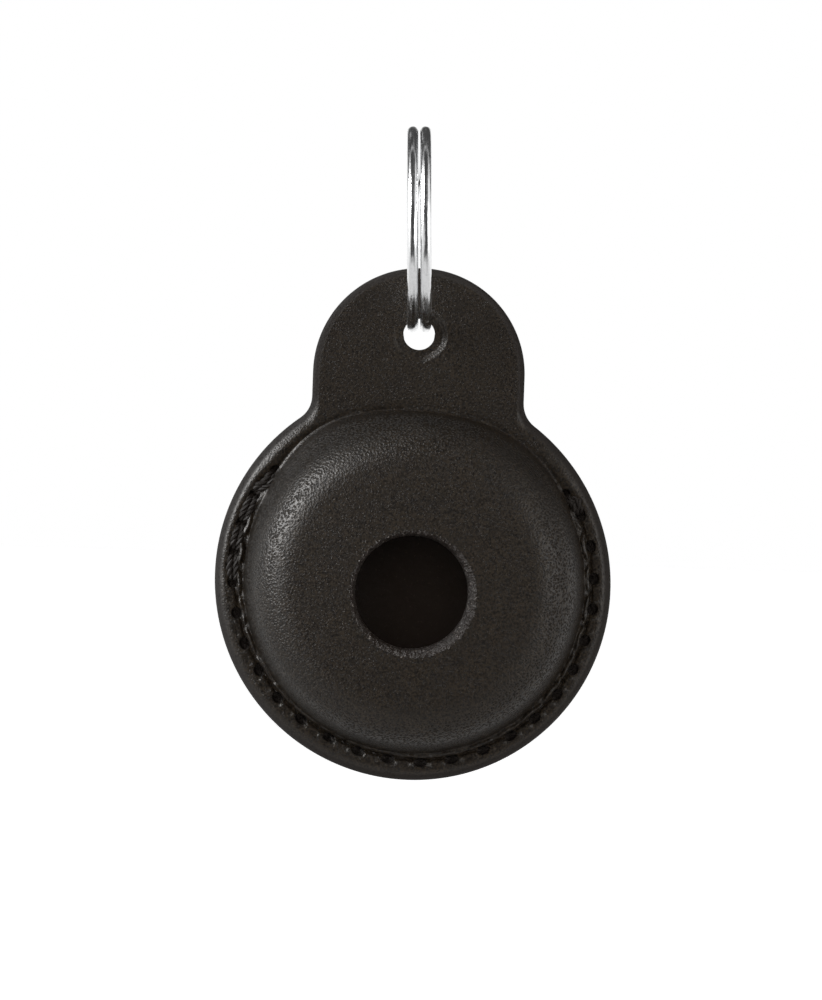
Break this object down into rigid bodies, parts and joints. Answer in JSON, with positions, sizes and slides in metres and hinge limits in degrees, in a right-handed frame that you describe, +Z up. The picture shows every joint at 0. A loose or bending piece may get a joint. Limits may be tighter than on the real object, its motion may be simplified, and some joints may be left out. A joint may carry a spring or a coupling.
{
  "type": "tracker tag holder",
  "caption": "Round leather holder for a tracker disc: a moulded dome with a window, sewn to a flat back, hung by its punched tongue on a split ring.",
  "frame": {"origin": "centre of the disc, on the plane where the two leathers meet", "axes": "+Z up the tongue towards the ring, the dome and its window face -Y, the flat back faces +Y"},
  "size_m": [0.0424, 0.022, 0.0698],
  "materials": {
    "leather": "satin full-grain leather, very dark brown, with burnished edges",
    "thread": "waxed thread, dark brown",
    "ring": "polished nickel plate"
  },
  "bodies": {
    "ring": {"split_ring": "ring"},
    "holder": {"front_panel": "leather", "back_panel": "leather", "stitching_thread": "thread"}
  },
  "joints": [
    {"name": "holder_swing", "type": "hinge", "parent": "ring", "child": "holder", "pos_m": [0, 0, 0.0265], "axis": [0, 1, 0], "range_deg": [-120, 120]}
  ]
}
